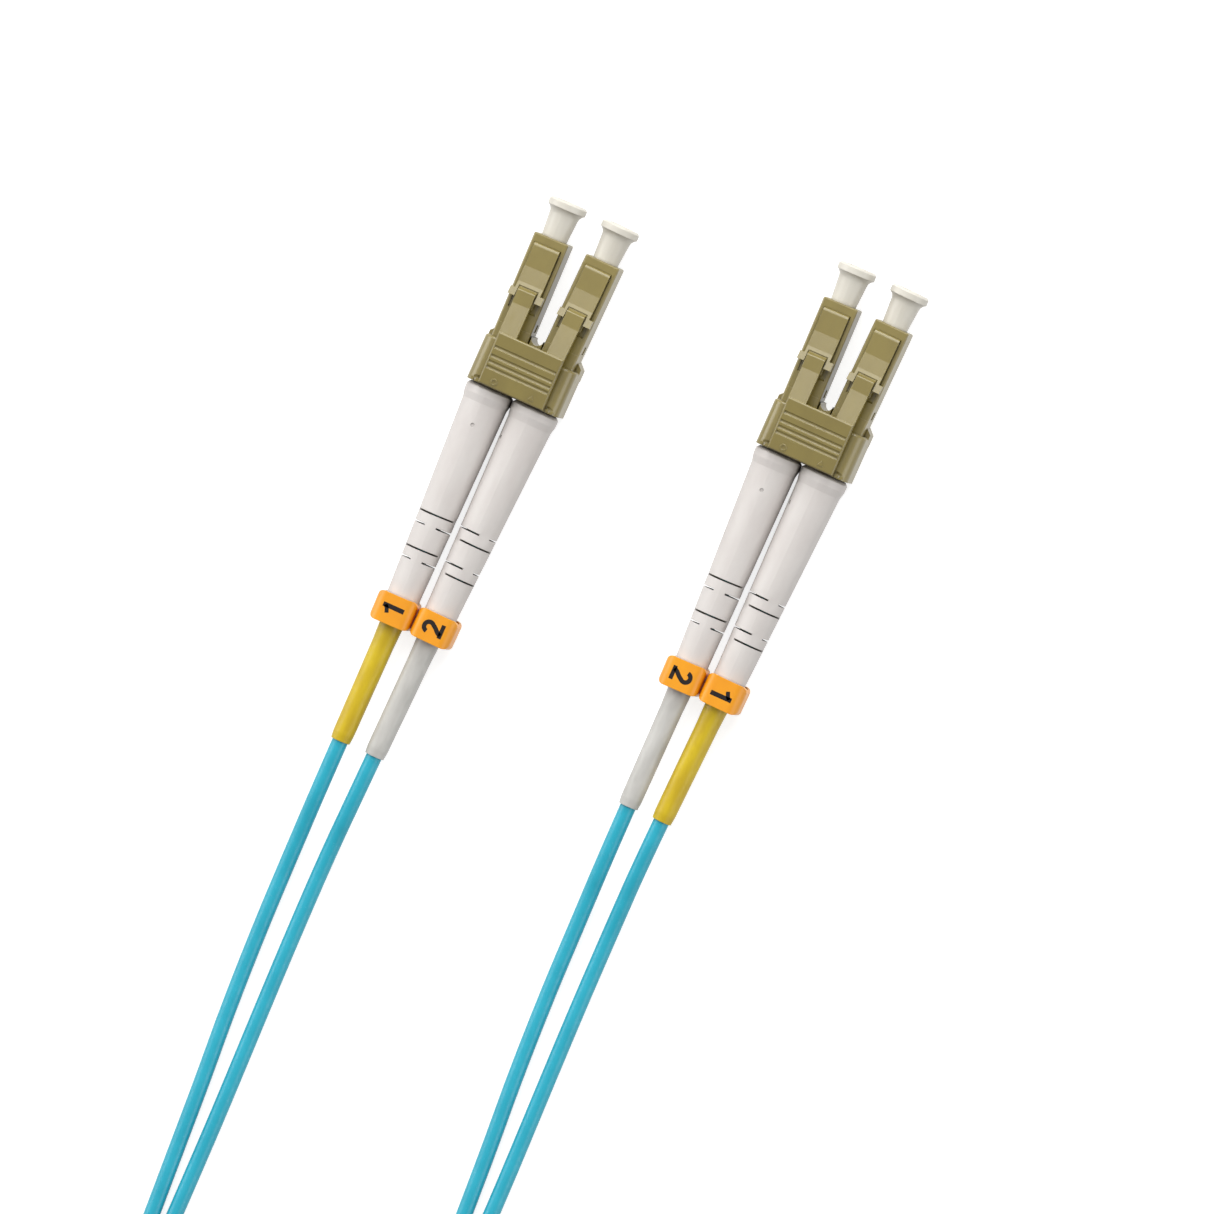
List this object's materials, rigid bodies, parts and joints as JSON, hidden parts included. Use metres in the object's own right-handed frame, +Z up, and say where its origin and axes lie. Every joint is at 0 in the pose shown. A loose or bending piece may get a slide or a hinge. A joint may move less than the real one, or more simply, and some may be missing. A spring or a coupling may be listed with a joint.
{
  "type": "fiber optic patch cord",
  "caption": "duplex multimode optical patch cord: small-form latched plugs in a clip with a press trigger at both ends, dust caps, boots, number rings and coiled aqua zipcord",
  "frame": {"origin": "middle of the two connectors' footprint, on the surface that they lie on, without the cable", "axes": "+Y is the way the ferrules point, +Z is up and the latches are on top, +X is to the right from connector A to connector B"},
  "size_m": [0.0548, 0.2108, 0.0096],
  "materials": {
    "beige_plastic": "moulded beige plastic, satin",
    "cap_plastic": "soft white translucent polyethylene",
    "zirconia": "polished white ceramic",
    "metal": "plated metal",
    "boot_white": "soft white moulded elastomer",
    "ring_plastic": "orange-yellow vinyl with black numbers",
    "sleeve_yellow": "yellow heat-shrink tube",
    "sleeve_white": "white heat-shrink tube",
    "cable_jacket": "aqua jacket, satin",
    "fiber_buffer": "buffer coating",
    "tie_fabric": "black hook-and-loop tape"
  },
  "bodies": {
    "cord": {"a1_back_body": "beige_plastic", "a1_boot": "boot_white", "a1_cable_end": "cable_jacket", "a1_cable_leg": "cable_jacket", "a1_housing": "beige_plastic", "a1_shrink_sleeve": "sleeve_yellow", "a1_spring": "metal", "a2_back_body": "beige_plastic", "a2_boot": "boot_white", "a2_cable_end": "cable_jacket", "a2_cable_leg": "cable_jacket", "a2_housing": "beige_plastic", "a2_shrink_sleeve": "sleeve_white", "a2_spring": "metal", "a_clip": "beige_plastic", "a_marker_rings": "ring_plastic", "a_zip_run": "cable_jacket", "b1_back_body": "beige_plastic", "b1_boot": "boot_white", "b1_cable_end": "cable_jacket", "b1_cable_leg": "cable_jacket", "b1_housing": "beige_plastic", "b1_shrink_sleeve": "sleeve_white", "b1_spring": "metal", "b2_back_body": "beige_plastic", "b2_boot": "boot_white", "b2_cable_end": "cable_jacket", "b2_cable_leg": "cable_jacket", "b2_housing": "beige_plastic", "b2_shrink_sleeve": "sleeve_yellow", "b2_spring": "metal", "b_clip": "beige_plastic", "b_marker_rings": "ring_plastic", "b_zip_run": "cable_jacket", "coil_ties": "tie_fabric", "crimp_sleeves": "metal", "zipcord_coil": "cable_jacket"},
    "a1_cap": {"a1_dust_cap": "cap_plastic"},
    "a1_ferrule_unit": {"a1_ferrule": "zirconia", "a1_ferrule_flange": "metal", "a1_fiber": "fiber_buffer"},
    "a1_latch_arm": {"a1_latch": "beige_plastic"},
    "a2_cap": {"a2_dust_cap": "cap_plastic"},
    "a2_ferrule_unit": {"a2_ferrule": "zirconia", "a2_ferrule_flange": "metal", "a2_fiber": "fiber_buffer"},
    "a2_latch_arm": {"a2_latch": "beige_plastic"},
    "a_trigger_arm": {"a_trigger": "beige_plastic"},
    "b1_cap": {"b1_dust_cap": "cap_plastic"},
    "b1_ferrule_unit": {"b1_ferrule": "zirconia", "b1_ferrule_flange": "metal", "b1_fiber": "fiber_buffer"},
    "b1_latch_arm": {"b1_latch": "beige_plastic"},
    "b2_cap": {"b2_dust_cap": "cap_plastic"},
    "b2_ferrule_unit": {"b2_ferrule": "zirconia", "b2_ferrule_flange": "metal", "b2_fiber": "fiber_buffer"},
    "b2_latch_arm": {"b2_latch": "beige_plastic"},
    "b_trigger_arm": {"b_trigger": "beige_plastic"}
  },
  "joints": [
    {"name": "a1_cap_pull", "type": "slide", "parent": "cord", "child": "a1_cap", "axis": [-0.0192, 0.9998, 0], "range_m": [0, 0.01]},
    {"name": "a1_ferrule_float", "type": "slide", "parent": "cord", "child": "a1_ferrule_unit", "axis": [0.0192, -0.9998, 0], "range_m": [0, 0.001], "stiffness_N_per_m": 1000, "springref_m": -0.005, "deforming": ["a1_spring"]},
    {"name": "a1_latch_press", "type": "hinge", "parent": "cord", "child": "a1_latch_arm", "pos_m": [-0.02121, 0.02565, 0.00565], "axis": [0.9998, 0.0192, 0], "range_deg": [0, 5.6]},
    {"name": "a2_cap_pull", "type": "slide", "parent": "cord", "child": "a2_cap", "axis": [0.0192, 0.9998, 0], "range_m": [0, 0.01]},
    {"name": "a2_ferrule_float", "type": "slide", "parent": "cord", "child": "a2_ferrule_unit", "axis": [-0.0192, -0.9998, 0], "range_m": [0, 0.001], "stiffness_N_per_m": 1000, "springref_m": -0.005, "deforming": ["a2_spring"]},
    {"name": "a2_latch_press", "type": "hinge", "parent": "cord", "child": "a2_latch_arm", "pos_m": [-0.01439, 0.02565, 0.00565], "axis": [0.9998, -0.0192, 0], "range_deg": [0, 5.6]},
    {"name": "a_trigger_press", "type": "hinge", "parent": "cord", "child": "a_trigger_arm", "pos_m": [-0.0178, 0.0081, 0.0065], "axis": [-1, 0, 0], "range_deg": [0, 2.8], "stiffness_Nm_per_rad": 0.6},
    {"name": "b1_cap_pull", "type": "slide", "parent": "cord", "child": "b1_cap", "axis": [-0.0192, 0.9998, 0], "range_m": [0, 0.01]},
    {"name": "b1_ferrule_float", "type": "slide", "parent": "cord", "child": "b1_ferrule_unit", "axis": [0.0192, -0.9998, 0], "range_m": [0, 0.001], "stiffness_N_per_m": 1000, "springref_m": -0.005, "deforming": ["b1_spring"]},
    {"name": "b1_latch_press", "type": "hinge", "parent": "cord", "child": "b1_latch_arm", "pos_m": [0.01439, 0.03285, 0.00565], "axis": [0.9998, 0.0192, 0], "range_deg": [0, 5.6]},
    {"name": "b2_cap_pull", "type": "slide", "parent": "cord", "child": "b2_cap", "axis": [0.0192, 0.9998, 0], "range_m": [0, 0.01]},
    {"name": "b2_ferrule_float", "type": "slide", "parent": "cord", "child": "b2_ferrule_unit", "axis": [-0.0192, -0.9998, 0], "range_m": [0, 0.001], "stiffness_N_per_m": 1000, "springref_m": -0.005, "deforming": ["b2_spring"]},
    {"name": "b2_latch_press", "type": "hinge", "parent": "cord", "child": "b2_latch_arm", "pos_m": [0.02121, 0.03285, 0.00565], "axis": [0.9998, -0.0192, 0], "range_deg": [0, 5.6]},
    {"name": "b_trigger_press", "type": "hinge", "parent": "cord", "child": "b_trigger_arm", "pos_m": [0.0178, 0.0153, 0.0065], "axis": [-1, 0, 0], "range_deg": [0, 2.8], "stiffness_Nm_per_rad": 0.6}
  ],
  "couplings": [
    {"joint": "a1_latch_press", "follows": "a_trigger_press", "ratio": 2},
    {"joint": "a2_latch_press", "follows": "a_trigger_press", "ratio": 2},
    {"joint": "b1_latch_press", "follows": "b_trigger_press", "ratio": 2},
    {"joint": "b2_latch_press", "follows": "b_trigger_press", "ratio": 2}
  ]
}
